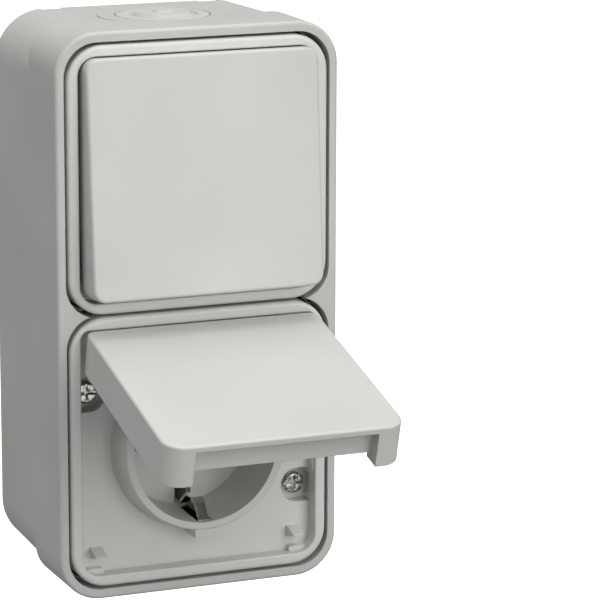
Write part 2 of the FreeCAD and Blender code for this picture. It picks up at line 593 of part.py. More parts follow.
def switch_frame():
    body = new_body("switch_frame")
    floor = "(%s + SwitchFloorThick)" % FRAME_SEAT
    frame_block(body, "-SwitchFrameHeight / 2", "SwitchFrameHeight / 2",
                "-SwitchFrameHeight / 2 + SwitchBand", "SwitchFrameHeight / 2 - SwitchBand", floor)
    mouth = rounded(body, "Mouth", "front", floor, "-FrameMouth / 2", "FrameMouth / 2",
                    "-FrameMouth / 2", "FrameMouth / 2", "RockerEdge + 1")
    pocket(body, mouth, "SwitchFloorThick")
    screw_seats(body, floor, "SwitchPocketRadius")
    place(body, z=SWITCH_MIDDLE)
    return body


def frame_seal(label, low, high):
    """Flat sealing ring between a frame and the ledge of the box."""
    body = new_body(label)
    outer = "(FrameWidth / 2 - LedgeInset + Clearance + SealWidth)"
    inner = "(FrameWidth / 2 - LedgeInset + Clearance)"
    grow = "(SealWidth + Clearance - LedgeInset)"
    pad(body, rounded(body, "Outer", "front", "LedgeDepth", "-" + outer, outer,
                      "%s - %s" % (low, grow), "%s + %s" % (high, grow), "FrameCorner - 0.4"), "SealThick")
    hole = rounded(body, "Inner", "front", FRAME_SEAT, "-" + inner, inner,
                   low + " + LedgeInset - Clearance", high + " - LedgeInset + Clearance", "CavityCorner + 1")
    pocket(body, hole, "SealThick")
    return body


def rocker():
    """Shell whose face stands ahead of its pivot; it rests with its upper edge pressed in."""
    body = new_body("rocker")
    half_wide = "(FrameWidth / 2 - FrameSide - RockerGapWide)"
    half_tall = "(SwitchFrameHeight / 2 - SwitchBand - RockerGapTall)"
    back = "(RockerReach - RockerSkirt)"
    pad(body, rounded(body, "Block", "front", back, "-" + half_wide, half_wide,
                      "-" + half_tall, half_tall, "RockerCorner"), "RockerSkirt")
    round_edges(body, "FaceEdge", "RockerEdge", at_depth("RockerReach"))
    wide, tall = "(%s - RockerWall)" % half_wide, "(%s - RockerWall)" % half_tall
    inside = rounded(body, "Inside", "front", back, "-" + wide, wide, "-" + tall, tall,
                     "RockerCorner - RockerWall + RockerInnerCorner")
    pocket(body, inside, "RockerSkirt - RockerFace", reverse=True)
    for name, low, high in (("High", "CradleTall / 2 + Clearance", "CradleTall / 2 + Clearance + 1.6"),
                            ("Low", "-CradleTall / 2 - Clearance - 1.6", "-CradleTall / 2 - Clearance")):
        clip = box_outline(body, name + "Clip", "front", "RockerReach - RockerFace - CradleThick - 1.2",
                           "-CradleWide / 3", "CradleWide / 3", low, high)
        pad(body, clip, "CradleThick + 1.4")
    place(body, y="-" + PIVOT_DEPTH, z=SWITCH_MIDDLE, angle="-RockerTilt")
    return body


def toggle_cradle():
    """Plate that the rocker clips on, with the plunger tube and the two trunnions it swings on."""
    body = new_body("toggle_cradle")
    plate = "(RockerReach - RockerFace)"
    pad(body, box_outline(body, "Plate", "front", plate + " - CradleThick", "-CradleWide / 2",
                          "CradleWide / 2", "-CradleTall / 2", "CradleTall / 2"), "CradleThick")
    bar = circles(body, "Trunnions", "side", "0", [("0", "0", "TrunnionRadius")])
    pad(body, bar, "TrunnionSpan", middle=True)
    tube = circles(body, "Tube", "front", "-TubeReach", [("0", "0", "TubeRadius")])
    pad(body, tube, "TubeReach + %s - CradleThick" % plate)
    bore = circles(body, "Bore", "front", "-TubeReach", [("0", "0", "TubeBore")])
    pocket(body, bore, "TubeReach + %s - CradleThick" % plate, reverse=True)
    place(body, y="-" + PIVOT_DEPTH, z=SWITCH_MIDDLE, angle="-RockerTilt")
    return body


def plunger():
    """Headed pin with a round tip, pushed out of the cradle's tube by the spring."""
    body = new_body("toggle_plunger")
    head = "(PlungerHeadThick + 2)"
    tip = "-(PlungerReach - PlungerRadius)"
    pad(body, circles(body, "Stem", "front", tip, [("0", "0", "PlungerRadius")]), "2 + PlungerReach - PlungerRadius")
    pad(body, circles(body, "Head", "front", "2", [("0", "0", "PlungerHead")]), head + " - 2")
    ball = body.newObject("PartDesign::AdditiveSphere", "PlungerTip")
    ball.setExpression("Radius", formula("PlungerRadius"))
    ball.setExpression("Placement.Base.y", formula("PlungerReach - PlungerRadius"))
    place(body, y="-" + PIVOT_DEPTH, z=SWITCH_MIDDLE, angle="-RockerTilt")
    return body


def toggle_spring():
    """Coil of wire between the plunger's head and the cradle plate; six sides stand for its round section."""
    body = new_body("toggle_spring")
    low = "(2 + PlungerHeadThick + SpringWire + 0.05)"
    high = "(RockerReach - RockerFace - CradleThick - SpringWire - 0.05)"
    corners = [("-%s + SpringWire * cos(%d deg)" % (low, turn), "SpringMean + SpringWire * sin(%d deg)" % turn)
               for turn in range(0, 360, 60)]
    wire = outline(body, "Wire", "side", "0", corners)
    coil = body.newObject("PartDesign::AdditiveHelix", "SpringCoil")
    coil.Profile = wire
    coil.ReferenceAxis = (wire, ["H_Axis"])
    coil.Mode = "height-turns-angle"
    coil.setExpression("Height", formula("%s - %s" % (high, low)))
    coil.setExpression("Turns", formula("SpringTurns"))
    coil.Angle = 0
    coil.Reversed = True
    doc.recompute()
    place(body, y="-" + PIVOT_DEPTH, z=SWITCH_MIDDLE, angle="-RockerTilt")
    return body


def switch_cover():
    """Front plate of the switch insert with the two bearing ears for the trunnions."""
    body = new_body("switch_insert_cover")
    half = "InsertCoverSize / 2"
    back = "(%s - InsertCoverThick)" % FRAME_SEAT
    pad(body, rounded(body, "Plate", "front", back, "-" + half, half, "-" + half, half, "InsertCorner"),
        "InsertCoverThick")
    inner = "BearingWide / 2"
    outer = "(BearingWide / 2 + BearingThick)"
    for name, near, thick in (("Right", inner, "BearingThick"), ("Left", "-" + outer, "BearingThick")):
        disc = circles(body, name + "EarRound", "side", near, [("-" + PIVOT_DEPTH, "0", "BearingRadius")])
        pad(body, disc, thick)
        foot = box_outline(body, name + "EarFoot", "side", near, "-" + PIVOT_DEPTH,
                           "-%s + 0.2" % FRAME_SEAT, "-BearingRadius", "BearingRadius")
        pad(body, foot, thick)
    bore = circles(body, "Bearing", "side", "0", [("-" + PIVOT_DEPTH, "0", "TrunnionRadius + BearingFit")])
    pocket(body, bore, outer + " * 2 + 1", middle=True)
    hole = circles(body, "PlungerHole", "front", FRAME_SEAT, [("0", "0", "InsertHole")])
    pocket(body, hole, "InsertCoverThick")
    place(body, z=SWITCH_MIDDLE)
    return body


def switch_base():
    """Base of the switch insert: mechanism hollow at the front, a terminal pocket at top and bottom."""
    body = new_body("switch_base")
    half = "InsertSize / 2"
    front = "(%s - InsertCoverThick)" % FRAME_SEAT
    pad(body, rounded(body, "Block", "front", "SwitchBaseDepth", "-" + half, half, "-" + half, half,
                      "InsertCorner"), front + " - SwitchBaseDepth")
    hollow = box_outline(body, "Hollow", "front", front, "-MechanismWide / 2", "MechanismWide / 2",
                         "-MechanismTall / 2", "MechanismTall / 2")
    pocket(body, hollow, front + " - MechanismFloor")
    wide = "(TerminalSize / 2 + Clearance)"
    low = "(StripPlace - StripThick / 2 - Clearance)"
    high = "(InsertSize / 2 - 1.2)"
    for name, sign in (("High", ""), ("Low", "-")):
        ends = (sign + low, sign + high) if not sign else (sign + high, sign + low)
        cell = box_outline(body, name + "Cell", "front", "SwitchBaseDepth", "-" + wide, wide, ends[0], ends[1])
        pocket(body, cell, "TerminalPocketDeep", reverse=True)
        reach = "(StripPlace + StripThick / 2 + Clearance)"
        ends = (sign + low, sign + reach) if not sign else (sign + reach, sign + low)
        slot = box_outline(body, name + "StripSlot", "front", "SwitchBaseDepth", "-" + wide, wide, ends[0], ends[1])
        pocket(body, slot, "MechanismFloor - SwitchBaseDepth", reverse=True)
    access = circles(body, "ScrewAccess", "level", "0", [("0", "-SwitchBaseDepth - TerminalSize / 2 - 0.5",
                                                          "TerminalHeadRadius + Clearance")])
    pocket(body, access, "InsertSize + 2", middle=True)
    place(body, z=SWITCH_MIDDLE)
    return body


def switch_contact(label, sign, strip):
    """Brass strip with its terminal block; the strip's shape is given by (depth, height) corners."""
    body = new_body(label)
    path = outline(body, "Strip", "side", "0", [("-(%s)" % depth, sign + "(%s)" % up) for depth, up in strip])
    pad(body, path, "StripWide", middle=True)
    near = "(StripPlace + StripThick / 2)"
    ends = (near, near + " + TerminalTall") if not sign else ("-(%s + TerminalTall)" % near, "-" + near)
    block = box_outline(body, "Terminal", "front", "SwitchBaseDepth + 0.5", "-TerminalSize / 2",
                        "TerminalSize / 2", ends[0], ends[1])
    pad(body, block, "TerminalSize")
    hole = circles(body, "ScrewHole", "level", "0", [("0", "-SwitchBaseDepth - TerminalSize / 2 - 0.5",
                                                     "TerminalScrewRadius + ScrewFit")])
    depth = "StripPlace + StripThick / 2 + TerminalTall + 1"
    pocket(body, hole, depth, reverse=not sign)
    wire = circles(body, "WireHole", "front", "SwitchBaseDepth + 0.5",
                   [("0", sign + "(StripPlace + StripThick / 2 + TerminalTall / 2)", "TerminalScrewRadius + 0.2")])
    pocket(body, wire, "TerminalSize - 1", reverse=True)
    place(body, z=SWITCH_MIDDLE)
    return body


def contact_arm():
    """Flat bridge that rocks on the common contact, with a rivet at the end that closes the circuit."""
    body = new_body("contact_arm")
    pad(body, box_outline(body, "Bridge", "front", "0", "-ArmWide / 2", "ArmWide / 2", "-ArmTall / 2",
                          "ArmTall / 2"), "ArmThick")
    rivet = circles(body, "Rivet", "front", "-RivetRise", [("0", "-ArmTall / 2 + RivetRadius", "RivetRadius")])
    pad(body, rivet, "ArmThick + RivetRise * 2")
    place(body, y="-ArmPivotDepth", z=SWITCH_MIDDLE, angle="ArmTilt")
    return body


def turned_screw(label, shank, length, head, height, x, y, z, axis, angle):
    """Slotted cheese-head screw, turned about its upright axis, head upwards before it is placed."""
    body = new_body(label)
    profile = [("0", "-(%s)" % length), (shank + " - 0.4", "-(%s)" % length),
               (shank, "-(%s) + 0.6" % length), (shank, "0"), (head, "0"), (head, "%s - 0.4" % height),
               (head + " - 0.4", height), ("0", height)]
    revolve(body, "Turned", outline(body, "Profile", "side", "0", profile))
    slot = box_outline(body, "Slot", "level", height, "-(%s) - 1" % head, "%s + 1" % head,
                       "-ScrewSlotWidth / 2", "ScrewSlotWidth / 2")
    pocket(body, slot, "ScrewSlotDepth")
    cross = box_outline(body, "Cross", "level", height, "-ScrewSlotWidth / 2", "ScrewSlotWidth / 2",
                        "-(%s) * ScrewCross" % head, "(%s) * ScrewCross" % head)
    pocket(body, cross, "ScrewSlotDepth")
    place(body, x=x, y=y, z=z, axis=axis, angle=angle)
    return body


def fixing_screws(module, middle):
    for side, (x, z) in zip(("left", "right"), POSTS):
        turned_screw("%s_screw_%s" % (module, side), "ScrewRadius", "ScrewLength", "ScrewHeadRadius",
                     "ScrewHeadHeight", x, "-SeatDepth", "%s + %s" % (middle, z), (1, 0, 0), "90")


def socket_cover():
    """One moulding: frame, recessed plate, collar and plug recess, hinge ears, catches, screw seats."""
    body = new_body("socket_cover")
    high = "(SocketFrameHeight / 2 + SocketDrop)"
    low = "(SocketDrop - SocketFrameHeight / 2)"
    window_low = "(%s + SocketBandLow)" % low
    window_high = "(%s - SocketBandTop)" % high
    back = "(PlateDepth - PlateThick)"
    frame_block(body, low, high, window_low, window_high, "PlateDepth", "LidWindowCorner")
    inner = "(FrameWidth / 2 - FrameSide)"
    relief = rounded(body, "RearRelief", "front", FRAME_SEAT, "-" + inner, inner, window_low, window_high,
                     "WindowCorner")
    pocket(body, relief, "%s - %s" % (back, FRAME_SEAT), reverse=True)
    screw_seats(body, "PlateDepth", "SocketPocketRadius", open_side=True)

    # The collar flares down to the plate and the recess narrows to its floor.
    foot = circles(body, "CollarFoot", "front", "PlateDepth", [("0", "0", "CupMouth + CollarWall + CollarFlare")])
    edge = circles(body, "CollarFront", "front", COLLAR_FRONT, [("0", "0", "CupMouth + CollarWall")])
    loft(body, "Collar", foot, edge)
    round_edges(body, "CollarEdge", "CollarEdge", at_depth(COLLAR_FRONT))
    cup = circles(body, "CupBack", "front", CUP_BACK, [("0", "0", "CupFloor + CupWall")])
    pad(body, cup, "PlateDepth - " + CUP_BACK)
    for name, sign, face in (("Low", "-", "TabOuter"), ("High", "", "TabOuterTop")):
        ends = ["(CupMouth + 0.5)", face]
        low_z, high_z = (sign + ends[1], sign + ends[0]) if sign else (ends[0], ends[1])
        tab = box_outline(body, name + "Tab", "front", back, "-TabWide / 2", "TabWide / 2", low_z, high_z)
        pad(body, tab, "%s - Clearance - %s" % (COLLAR_FRONT, back))
    mouth = circles(body, "CupMouth", "front", COLLAR_FRONT, [("0", "0", "CupMouth")])
    floor = circles(body, "CupFloor", "front", CUP_BOTTOM, [("0", "0", "CupFloor")])
    hollow = body.newObject("PartDesign::SubtractiveLoft", "SocketRecess")
    hollow.Profile = mouth
    hollow.Sections = [floor]
    hollow.Ruled = True
    doc.recompute()

    keys = box_outline(body, "Keys", "front", CUP_BOTTOM + " - 0.5", "CupFloor - KeyDeep", "CupFloor + 1",
                       "-KeyWide / 2", "KeyWide / 2", mirrored_too=True)
    pad(body, keys, "CupDepth - 1")
    pins = [("-PinPitch / 2", "0", "PinHole"), ("PinPitch / 2", "0", "PinHole")]
    pocket(body, circles(body, "PinHoles", "front", CUP_BOTTOM, pins), "CupFloorThick")
    for name, sign in (("Low", "-"), ("High", "")):
        near, far, wall = "EarthSlotInner", "EarthSlotOuter", "(CupFloor - 0.3)"
        through = (sign + far, sign + near) if sign else (near, far)
        slot = box_outline(body, name + "FloorSlot", "front", CUP_BOTTOM, "-EarthSlotWide / 2",
                           "EarthSlotWide / 2", through[0], through[1])
        pocket(body, slot, "CupFloorThick")
        channel = (sign + far, sign + wall) if sign else (wall, far)
        groove = box_outline(body, name + "WallSlot", "front", COLLAR_FRONT + " - EarthSlotLip",
                             "-EarthSlotWide / 2", "EarthSlotWide / 2", channel[0], channel[1])
        pocket(body, groove, "CupDepth - EarthSlotLip")

    # Hinge ears lean down to the plate and clear the lid as it swings.
    axis_z = "(%s - %s)" % (HINGE_HEIGHT, SOCKET_AXIS)
    for name, near in (("Right", "HingeEarInner"), ("Left", "-(HingeEarInner + HingeEarThick)")):
        disc = circles(body, name + "EarRound", "side", near, [("-" + HINGE_DEPTH, axis_z, "HingeEarRadius")])
        pad(body, disc, "HingeEarThick")
        foot = outline(body, name + "EarFoot", "side", near,
                       [("-%s - HingeEarRadius * 0.1" % HINGE_DEPTH, axis_z + " - HingeEarRadius * 0.95"),
                        ("-" + HINGE_DEPTH, axis_z + " + HingeEarRadius * 0.3"),
                        ("-PlateDepth + 0.5", axis_z + " + HingeEarRadius * 0.1"),
                        ("-PlateDepth + 0.5", axis_z + " - HingeEarLean")])
        pad(body, foot, "HingeEarThick")
    bore = circles(body, "HingeBore", "side", "0", [("-" + HINGE_DEPTH, axis_z, "HingePinRadius + ScrewFit")])
    pocket(body, bore, "HingeEarInner * 2 + HingeEarThick * 2 + 1", middle=True)

    # Catch blocks low on both sides and the guide rib beside the right-hand screw.
    for name, start in (("Right", "CatchPlace - CatchWide / 2"), ("Left", "-CatchPlace - CatchWide / 2")):
        ramp = outline(body, name + "Catch", "side", start,
                       [("-PlateDepth + 0.2", "-CatchDrop + CatchTall / 2"),
                        ("-PlateDepth + 0.2", "-CatchDrop - CatchTall / 2"),
                        ("-PlateDepth - CatchNose", "-CatchDrop - CatchTall / 2 + CatchUnder"),
                        ("-PlateDepth - CatchNose", "-CatchDrop - CatchTall / 2 + CatchUnder + CatchLip")])
        pad(body, ramp, "CatchWide")
    for name, sign in (("Right", ""), ("Left", "-")):
        near, far = "(CatchPlace - CatchWide / 2)", "(CatchPlace + CatchWide)"
        ends = ("-" + far, "-" + near) if sign else (near, far)
        block = rounded(body, name + "LowerBlock", "front", "PlateDepth - 0.2", ends[0], ends[1],
                        window_low + " - 1", window_low + " + CatchLowerTall", "CatchLowerCorner")
        pad(body, block, "CatchLowerRise + 0.2")
    guide = box_outline(body, "Guide", "front", "PlateDepth - 0.2", inner + " - GuideWide", inner + " + 0.5",
                        "-PostPitchTall / 2 + SocketPocketRadius", "-PostPitchTall / 2 + SocketPocketRadius + GuideTall")
    pad(body, guide, "GuideRise + 0.2")
    place(body, z=SOCKET_AXIS)
    return body


def hinge_pins():
    for side, start in (("right", "HingeEarInner"), ("left", "-(HingeEarInner + HingeEarThick + HingeBarrelLength)")):
        body = new_body("hinge_pin_" + side)
        pin = circles(body, "Round", "side", start, [("0", "0", "HingePinRadius")])
        pad(body, pin, "HingeEarThick + HingeBarrelLength")
        place(body, y="-" + HINGE_DEPTH, z=HINGE_HEIGHT)


def socket_base():
    """Base of the socket insert behind the recess, held to the plate by two arms."""
    body = new_body("socket_base")
    half = "InsertSize / 2"
    pad(body, rounded(body, "Block", "front", "SocketBaseDepth", "-" + half, half, "-" + half, half,
                      "InsertCorner"), CUP_BACK + " - SocketBaseDepth")
    arm_in = "(CupFloor + CupWall + Clearance)"
    arms = box_outline(body, "Arms", "front", "BaseArmRoot", arm_in + " - 1.5", arm_in + " + BaseArmThick",
                       "-BaseArmTall / 2", "BaseArmTall / 2", mirrored_too=True)
    pad(body, arms, "PlateDepth - PlateThick - BaseArmRoot")
    bite = circles(body, "CupRoom", "front", "PlateDepth - PlateThick", [("0", "0", arm_in)])
    pocket(body, bite, "PlateDepth - PlateThick - " + CUP_BACK)
    sleeves = [("-PinPitch / 2", "0", "SleeveRadius + Clearance"), ("PinPitch / 2", "0", "SleeveRadius + Clearance")]
    pocket(body, circles(body, "SleeveRoom", "front", CUP_BACK, sleeves), CUP_BACK + " - SleeveRear + Clearance")
    reach = "(PinPitch / 2 + SleeveRadius + TerminalSize + Clearance)"
    cells = box_outline(body, "TerminalRoom", "front", "SleeveRear + TerminalSize + Clearance", "PinPitch / 2", reach,
                        "-TerminalTall / 2 - Clearance", "TerminalTall / 2 + Clearance", mirrored_too=True)
    pocket(body, cells, "TerminalSize + Clearance * 2")
    shafts = circles(body, "ScrewRoom", "front", CUP_BACK,
                     [("PinPitch / 2 + SleeveRadius + TerminalSize / 2", "0", "TerminalHeadRadius + Clearance"),
                      ("-PinPitch / 2 - SleeveRadius - TerminalSize / 2", "0", "TerminalHeadRadius + Clearance")])
    pocket(body, shafts, CUP_BACK + " - SleeveRear - TerminalSize")
    strap_half = "(StrapWide / 2 + Clearance)"
    leg = "(StrapLeg + StrapThick)"
    strap = box_outline(body, "StrapRoom", "front", CUP_BACK, "-" + strap_half, strap_half, "-" + leg, leg)
    pocket(body, strap, CUP_BACK + " - StrapDepth + StrapThick / 2")
    place(body, z=SOCKET_AXIS)
    return body


def contact_sleeve(label, sign):
    """Slit brass sleeve that grips a plug pin, with its screw terminal at the outer side."""
    body = new_body(label)
    centre = sign + "PinPitch / 2"
    front = "(%s - Clearance)" % CUP_BACK
    pad(body, circles(body, "Round", "front", "SleeveRear", [(centre, "0", "SleeveRadius")]), front + " - SleeveRear")
    near = "(PinPitch / 2 + SleeveRadius - 0.6)"
    far = "(PinPitch / 2 + SleeveRadius + TerminalSize)"
    ends = (near, far) if not sign else ("-" + far, "-" + near)
    block = box_outline(body, "Terminal", "front", "SleeveRear", ends[0], ends[1], "-TerminalTall / 2",
                        "TerminalTall / 2")
    pad(body, block, "TerminalSize")
    bore = circles(body, "Bore", "front", front, [(centre, "0", "SleeveBore")])
    pocket(body, bore, front + " - SleeveRear - 1")
    slit = box_outline(body, "Slit", "front", front, centre + " - SleeveSlit / 2", centre + " + SleeveSlit / 2",
                       "-SleeveRadius - 1", "SleeveRadius + 1")
    pocket(body, slit, front + " - SleeveRear - TerminalSize - 1")
    hole = circles(body, "ScrewHole", "front", "SleeveRear + TerminalSize",
                   [(sign + "(PinPitch / 2 + SleeveRadius + TerminalSize / 2)", "0", "TerminalScrewRadius + ScrewFit")])
    pocket(body, hole, "TerminalSize")
    place(body, z=SOCKET_AXIS)
    return body


def strap_path(body, corners, bends):
    """Path through (depth, height) corners, with a tangent arc of the given radius at each inner corner."""
    sketch = new_sketch(body, "Path", "side", "0")
    points = [FreeCAD.Vector(-size(depth), size(up), 0) for depth, up in corners]
    start = points[0]
    for index, bend in enumerate(bends, start=1):
        corner = points[index]
        back = (points[index - 1] - corner).normalize()
        ahead = (points[index + 1] - corner).normalize()
        half = back.getAngle(ahead) / 2
        trim = size(bend) / math.tan(half)
        first = corner + back * trim
        last = corner + ahead * trim
        centre = corner + (back + ahead).normalize() * (size(bend) / math.sin(half))
        middle = centre + (corner - centre).normalize() * size(bend)
        sketch.addGeometry(Part.LineSegment(start, first))
        sketch.addGeometry(Part.Arc(first, middle, last))
        start = last
    sketch.addGeometry(Part.LineSegment(start, points[-1]))
    return sketch


def earth_strap():
    """Nickel-plated strip: a bar behind the recess and two legs that end in sprung, arched clips."""
    body = new_body("earth_strap")
    section = box_outline(body, "Section", "level", "0", "-StrapWide / 2", "StrapWide / 2",
                          "-StrapDepth - StrapThick / 2", "-StrapDepth + StrapThick / 2")
    clip_end = "(%s - 2.4)" % COLLAR_FRONT
    path = strap_path(body, [("StrapDepth", "0"), ("StrapDepth", "StrapLeg"),
                             (CUP_BOTTOM + " + 1.4", "StrapLeg"), (CUP_BOTTOM + " + 6.6", "StrapHead"),
                             (CUP_BOTTOM + " + 12.2", "StrapHead"), (clip_end, "CupMouth + 0.3")],
                      ["StrapThick", "StrapBend", "ClipBend", "ClipBend"])
    leg = body.newObject("PartDesign::AdditivePipe", "StrapLegPipe")
    leg.Profile = section
    leg.Spine = path
    doc.recompute()
    mirror(body, "OtherLeg", [leg], "level")
    place(body, z=SOCKET_AXIS)
    return body


def terminal_screws(label, places, turn):
    """A group of small slotted screws in one node."""
    solids = []
    for x, y, z, angle in places:
        shank = Part.makeCylinder(size("TerminalScrewRadius"), size("TerminalScrewLength"),
                                  FreeCAD.Vector(0, 0, -size("TerminalScrewLength")))
        head = Part.makeCylinder(size("TerminalHeadRadius"), size("TerminalHeadHeight"))
        slot = Part.makeBox(size("TerminalHeadRadius * 2 + 1"), size("ScrewSlotWidth"), size("ScrewSlotDepth"))
        slot.translate(FreeCAD.Vector(-size("TerminalHeadRadius + 0.5"), -size("ScrewSlotWidth / 2"),
                                      size("TerminalHeadHeight - ScrewSlotDepth")))
        screw = shank.fuse(head).cut(slot)
        screw.Placement = FreeCAD.Placement(FreeCAD.Vector(size(x), size(y), size(z)),
                                            FreeCAD.Rotation(FreeCAD.Vector(*turn), angle))
        solids.append(screw)
    item = doc.addObject("Part::Feature", label)
    item.Label = label
    item.Shape = Part.makeCompound(solids)
    item.Placement = FreeCAD.Placement()
    bodies.append(item)
    return item


def lid():
    """Shell in its closed frame, hinge axis at the origin; it stands lifted on the hinge."""
    body = new_body("lid")
    half, front = LID_HALF, LID_FRONT
    under = "(LidReach - %s)" % LID_SKIRT
    pad(body, rounded(body, "Block", "front", under, "-" + half, half, front, "LidRear",
                      "LidFrontCorner", "LidRearCorner"), LID_SKIRT)
    round_edges(body, "FaceEdge", "LidEdge", at_depth("LidReach"))
    inner = "(%s - LidWall)" % half
    inside = rounded(body, "Inside", "front", under, "-" + inner, inner, front + " + LidWall + GripDeep",
                     "LidRear - LidWall", "LidFrontCorner - LidWall", "LidRearCorner - LidWall + 0.4")
    pocket(body, inside, LID_SKIRT + " - LidWall", reverse=True)

    # The grip notch: the front wall is set back between the corners and ends short of them.
    slot = outline(body, "Grip", "front", under,
                   [("-GripWide / 2", front + " - 1"), ("GripWide / 2", front + " - 1"),
                    ("GripWide / 2", front + " + GripDeep"), ("-GripWide / 2", front + " + GripDeep")])
    pocket(body, slot, LID_SKIRT + " - LidWall", reverse=True)
    short = outline(body, "GripWall", "front", under,
                    [("-GripWide / 2", front + " - 1"), ("GripWide / 2", front + " - 1"),
                     ("GripWide / 2", front + " + GripDeep + LidWall + 0.1"),
                     ("-GripWide / 2", front + " + GripDeep + LidWall + 0.1")])
    pocket(body, short, LID_SKIRT + " - GripWallDrop", reverse=True)
    for name, near, far in (("Right", "GripWide / 2 + LidFootWall", inner), ("Left", "-" + inner, "-GripWide / 2 - LidFootWall")):
        room = rounded(body, name + "FootRoom", "front", under, near, far, front + " + LidFootFront",
                       front + " + LidWall + GripDeep + LidFrontCorner", "LidFootFront")
        pocket(body, room, LID_SKIRT + " - LidWall", reverse=True)

    rear = box_outline(body, "RearWallEnd", "front", under, "-" + inner, inner, "LidRear - LidWall - 0.5",
                       "LidRear + 1")
    pocket(body, rear, LID_SKIRT + " - LidReach - LidRearDrop", reverse=True)
    cut = outline(body, "RearCut", "side", "0",
                  [("-%s + 1" % under, "LidRear - LidRearCut - 1"), ("-%s + 1" % under, "LidRear + 1"),
                   ("-%s - LidRearCut - 1" % under, "LidRear + 1")])
    pocket(body, cut, half + " * 2 + 2", middle=True)

    # Barrels hang from the plate beside the ears, and the rear wall is open over the ears.
    barrel_in = "(HingeEarInner + HingeEarThick + Clearance)"
    for name, near in (("Right", barrel_in), ("Left", "-(%s + HingeBarrelLength - Clearance)" % barrel_in)):
        disc = circles(body, name + "Barrel", "side", near, [("0", "0", "HingeEarRadius")])
        pad(body, disc, "HingeBarrelLength - Clearance")
        web = box_outline(body, name + "Web", "side", near, "-LidReach + LidWall - 0.2", "0",
                          "-HingeEarRadius", "LidRear - LidWall + 0.2")
        pad(body, web, "HingeBarrelLength - Clearance")
    bore = circles(body, "PinBore", "side", "0", [("0", "0", "HingePinRadius + BearingFit")])
    pocket(body, bore, "HingeEarInner * 2 + HingeEarThick * 2 + HingeBarrelLength * 2 + 2", middle=True)
    gap = "(HingeEarInner - Clearance)"
    relief = box_outline(body, "EarRoom", "front", under, gap, "HingeEarInner + HingeEarThick + Clearance",
                         "0", "LidRear + 1", mirrored_too=True)
    pocket(body, relief, LID_SKIRT + " - LidWall", reverse=True)

    centre = "(%s - %s)" % (SOCKET_AXIS, HINGE_HEIGHT)
    groove = circles(body, "SealGroove", "front", "LidReach - LidWall",
                     [("0", centre, "LidSealInner"), ("0", centre, "LidSealOuter")])
    pocket(body, groove, "LidSealGroove", reverse=True)
    place(body, y="-" + HINGE_DEPTH, z=HINGE_HEIGHT, angle="-LidLift")
    return body


def lid_seal():
    """Soft ring in the lid that closes on the collar."""
    body = new_body("lid_seal")
    centre = "(%s - %s)" % (SOCKET_AXIS, HINGE_HEIGHT)
    front = "(LidReach - LidWall + LidSealGroove)"
    ring = circles(body, "Ring", "front", front + " - LidSealThick",
                   [("0", centre, "LidSealInner + 0.05"), ("0", centre, "LidSealOuter - 0.05")])
    pad(body, ring, "LidSealThick")
    place(body, y="-" + HINGE_DEPTH, z=HINGE_HEIGHT, angle="-LidLift")
    return body


housing()
cable_seal("cable_seal_top", True)
cable_seal("cable_seal_bottom", False)

switch_frame()
frame_seal("switch_frame_seal", SWITCH_LOW, SWITCH_HIGH)
rocker()
toggle_cradle()
plunger()
toggle_spring()
switch_cover()
switch_base()
low_strip = "(StripPlace - StripThick / 2)"
high_strip = "(StripPlace + StripThick / 2)"
switch_contact("switch_contact_fixed", "-",
               [("SwitchBaseDepth + 0.5", high_strip), ("SwitchBaseDepth + 0.5", low_strip),
                (CONTACT_DEPTH + " - StripThick", low_strip), (CONTACT_DEPTH + " - StripThick", "5"),
                (CONTACT_DEPTH, "5"), (CONTACT_DEPTH, high_strip)])
switch_contact("switch_contact_common", "",
               [("SwitchBaseDepth + 0.5", high_strip), ("SwitchBaseDepth + 0.5", low_strip),
                ("MechanismFloor + 0.5", low_strip), ("MechanismFloor + 0.5", "-1.5"),
                ("ArmPivotDepth - 1.5", "-1"), ("ArmPivotDepth - Clearance", "0"), ("ArmPivotDepth - 1.5", "1"),
                ("MechanismFloor + 1.5", "1.5"), ("MechanismFloor + 1.5", high_strip)])
contact_arm()
fixing_screws("switch", SWITCH_MIDDLE)
side_face = "(StripPlace + StripThick / 2 + TerminalTall)"
mid_terminal = "-(SwitchBaseDepth + TerminalSize / 2 + 0.5)"
terminal_screws("switch_terminal_screws",
                [("0", mid_terminal, "%s + %s" % (SWITCH_MIDDLE, side_face), 0),
                 ("0", mid_terminal, "%s - %s" % (SWITCH_MIDDLE, side_face), 180)], (1, 0, 0))

socket_cover()
frame_seal("socket_frame_seal", SOCKET_LOW, SOCKET_HIGH)
socket_base()
earth_strap()
contact_sleeve("contact_sleeve_left", "-")
contact_sleeve("contact_sleeve_right", "")
fixing_screws("socket", SOCKET_AXIS)
terminal = "(PinPitch / 2 + SleeveRadius + TerminalSize / 2)"
terminal_screws("socket_terminal_screws",
                [("-" + terminal, "-(SleeveRear + TerminalSize)", SOCKET_AXIS, 90),
                 (terminal, "-(SleeveRear + TerminalSize)", SOCKET_AXIS, 90)], (1, 0, 0))
hinge_pins()
lid()
lid_seal()

doc.recompute()
faulty = [item.Name for item in doc.Objects if set(item.State) & {"Invalid", "Error"}]
if faulty:
    raise RuntimeError("failed features: " + ", ".join(faulty))
for item in bodies:
    if item.Shape.isNull() or not item.Shape.isValid():
        raise RuntimeError("bad shape: " + item.Label)

os.makedirs("parts", exist_ok=True)
for item in bodies:
    item.Shape.exportStep(os.path.join("parts", item.Label + ".step"))
print(len(bodies), "pieces written")
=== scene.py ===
import bpy, bmesh, json
from mathutils import Matrix, Vector


